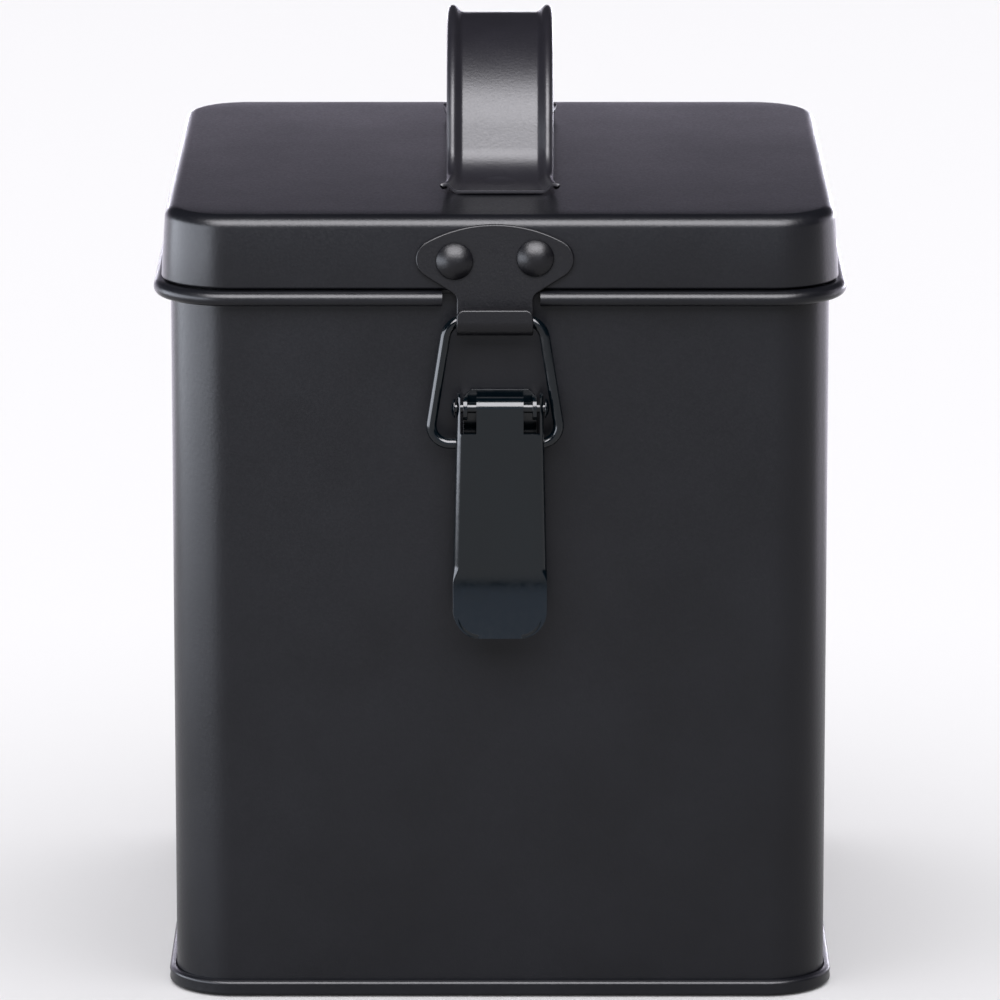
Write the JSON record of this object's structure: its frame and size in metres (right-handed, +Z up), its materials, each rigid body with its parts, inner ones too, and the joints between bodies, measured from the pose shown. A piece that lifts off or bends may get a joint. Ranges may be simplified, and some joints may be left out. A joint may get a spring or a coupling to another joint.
{
  "type": "metal lunch box",
  "caption": "Tall square sheet-metal lunch box with rounded corners, a rear-hinged lid with a strap handle, and a wire-bail draw latch at the front.",
  "frame": {"origin": "on the ground, under the middle of the whole outline; the wall's own centre is 1.3 mm behind it", "axes": "+Z up, -Y towards the front with the latch, +X to the right when the latch is looked at"},
  "size_m": [0.1368, 0.1459, 0.1889],
  "materials": {
    "body_coat": "satin black powder coat with a fine grain",
    "inner_coat": "satin black coat",
    "handle_coat": "satin black powder coat with a fine grain",
    "catch_coat": "semi-gloss black coat",
    "latch_gloss": "gloss black enamel",
    "hinge_coat": "satin black coat"
  },
  "bodies": {
    "box": {"body_shell": "body_coat", "rim_collar": "inner_coat", "base_panel": "body_coat", "latch_base": "latch_gloss", "latch_rivet_upper": "latch_gloss", "latch_rivet_lower": "latch_gloss", "lever_pin": "latch_gloss", "hinge_left_body_leaf": "hinge_coat", "hinge_left_pin": "hinge_coat", "hinge_left_body_rivet_inner": "hinge_coat", "hinge_left_body_rivet_outer": "hinge_coat", "hinge_right_body_leaf": "hinge_coat", "hinge_right_pin": "hinge_coat", "hinge_right_body_rivet_inner": "hinge_coat", "hinge_right_body_rivet_outer": "hinge_coat"},
    "lid": {"lid_shell": "body_coat", "handle_strap": "handle_coat", "catch_plate": "catch_coat", "catch_rivet_left": "catch_coat", "catch_rivet_right": "catch_coat", "hinge_left_lid_leaf": "hinge_coat", "hinge_left_lid_rivet_inner": "hinge_coat", "hinge_left_lid_rivet_outer": "hinge_coat", "hinge_right_lid_leaf": "hinge_coat", "hinge_right_lid_rivet_inner": "hinge_coat", "hinge_right_lid_rivet_outer": "hinge_coat"},
    "lever": {"latch_lever": "latch_gloss"},
    "bail": {"bail_wire": "latch_gloss"}
  },
  "joints": [
    {"name": "lid_hinge", "type": "hinge", "parent": "box", "child": "lid", "pos_m": [0, 0.0705, 0.1434], "axis": [-1, 0, 0], "range_deg": [0, 180]},
    {"name": "lever_hinge", "type": "hinge", "parent": "box", "child": "lever", "pos_m": [0, -0.069, 0.1212], "axis": [-1, 0, 0], "range_deg": [0, 95]},
    {"name": "bail_hinge", "type": "hinge", "parent": "lever", "child": "bail", "pos_m": [0, -0.0683, 0.1139], "axis": [-1, 0, 0], "range_deg": [-76, 0]}
  ],
  "couplings": [
    {"joint": "bail_hinge", "follows": "lever_hinge", "ratio": -0.8}
  ]
}
